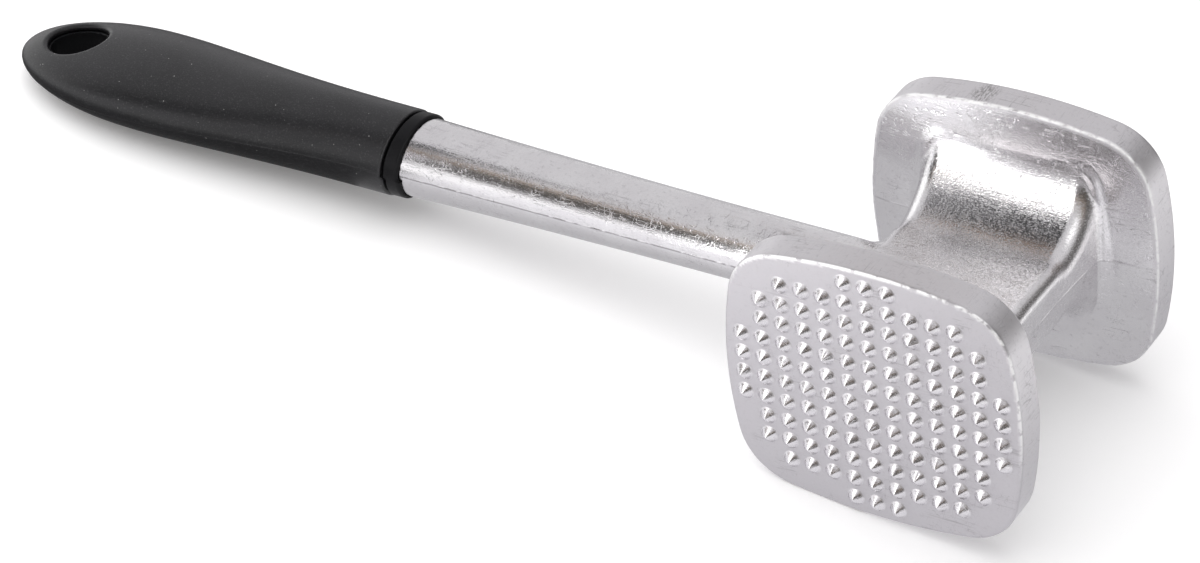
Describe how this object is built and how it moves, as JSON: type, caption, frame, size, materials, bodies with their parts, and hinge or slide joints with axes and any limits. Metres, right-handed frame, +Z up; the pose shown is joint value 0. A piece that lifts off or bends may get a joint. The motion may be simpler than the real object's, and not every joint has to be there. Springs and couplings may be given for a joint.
{
  "type": "meat mallet",
  "caption": "Two-faced meat mallet: cast aluminium head and shaft, fine studs on one face, coarse teeth on the other, soft black grip with a hang hole.",
  "frame": {"origin": "on the table, under the middle of the mallet's bounding box, with the mallet lying on the lower rims of both plates and the rear of its grip", "axes": "+X from the grip towards the head, +Y through the coarse striking face, +Z up; the shaft climbs about 6.5 degrees towards the head"},
  "size_m": [0.2524, 0.0706, 0.0575],
  "materials": {
    "cast_aluminium": "die cast and tumbled, satin faces with a polished shaft and waist, fine scratches",
    "hard_black_plastic": "fine satin, black",
    "soft_black_rubber": "matte charcoal black with fine pale specks"
  },
  "bodies": {
    "root": {"head_and_shaft_casting": "cast_aluminium", "handle_core": "hard_black_plastic", "soft_grip_cover": "soft_black_rubber"}
  },
  "joints": []
}
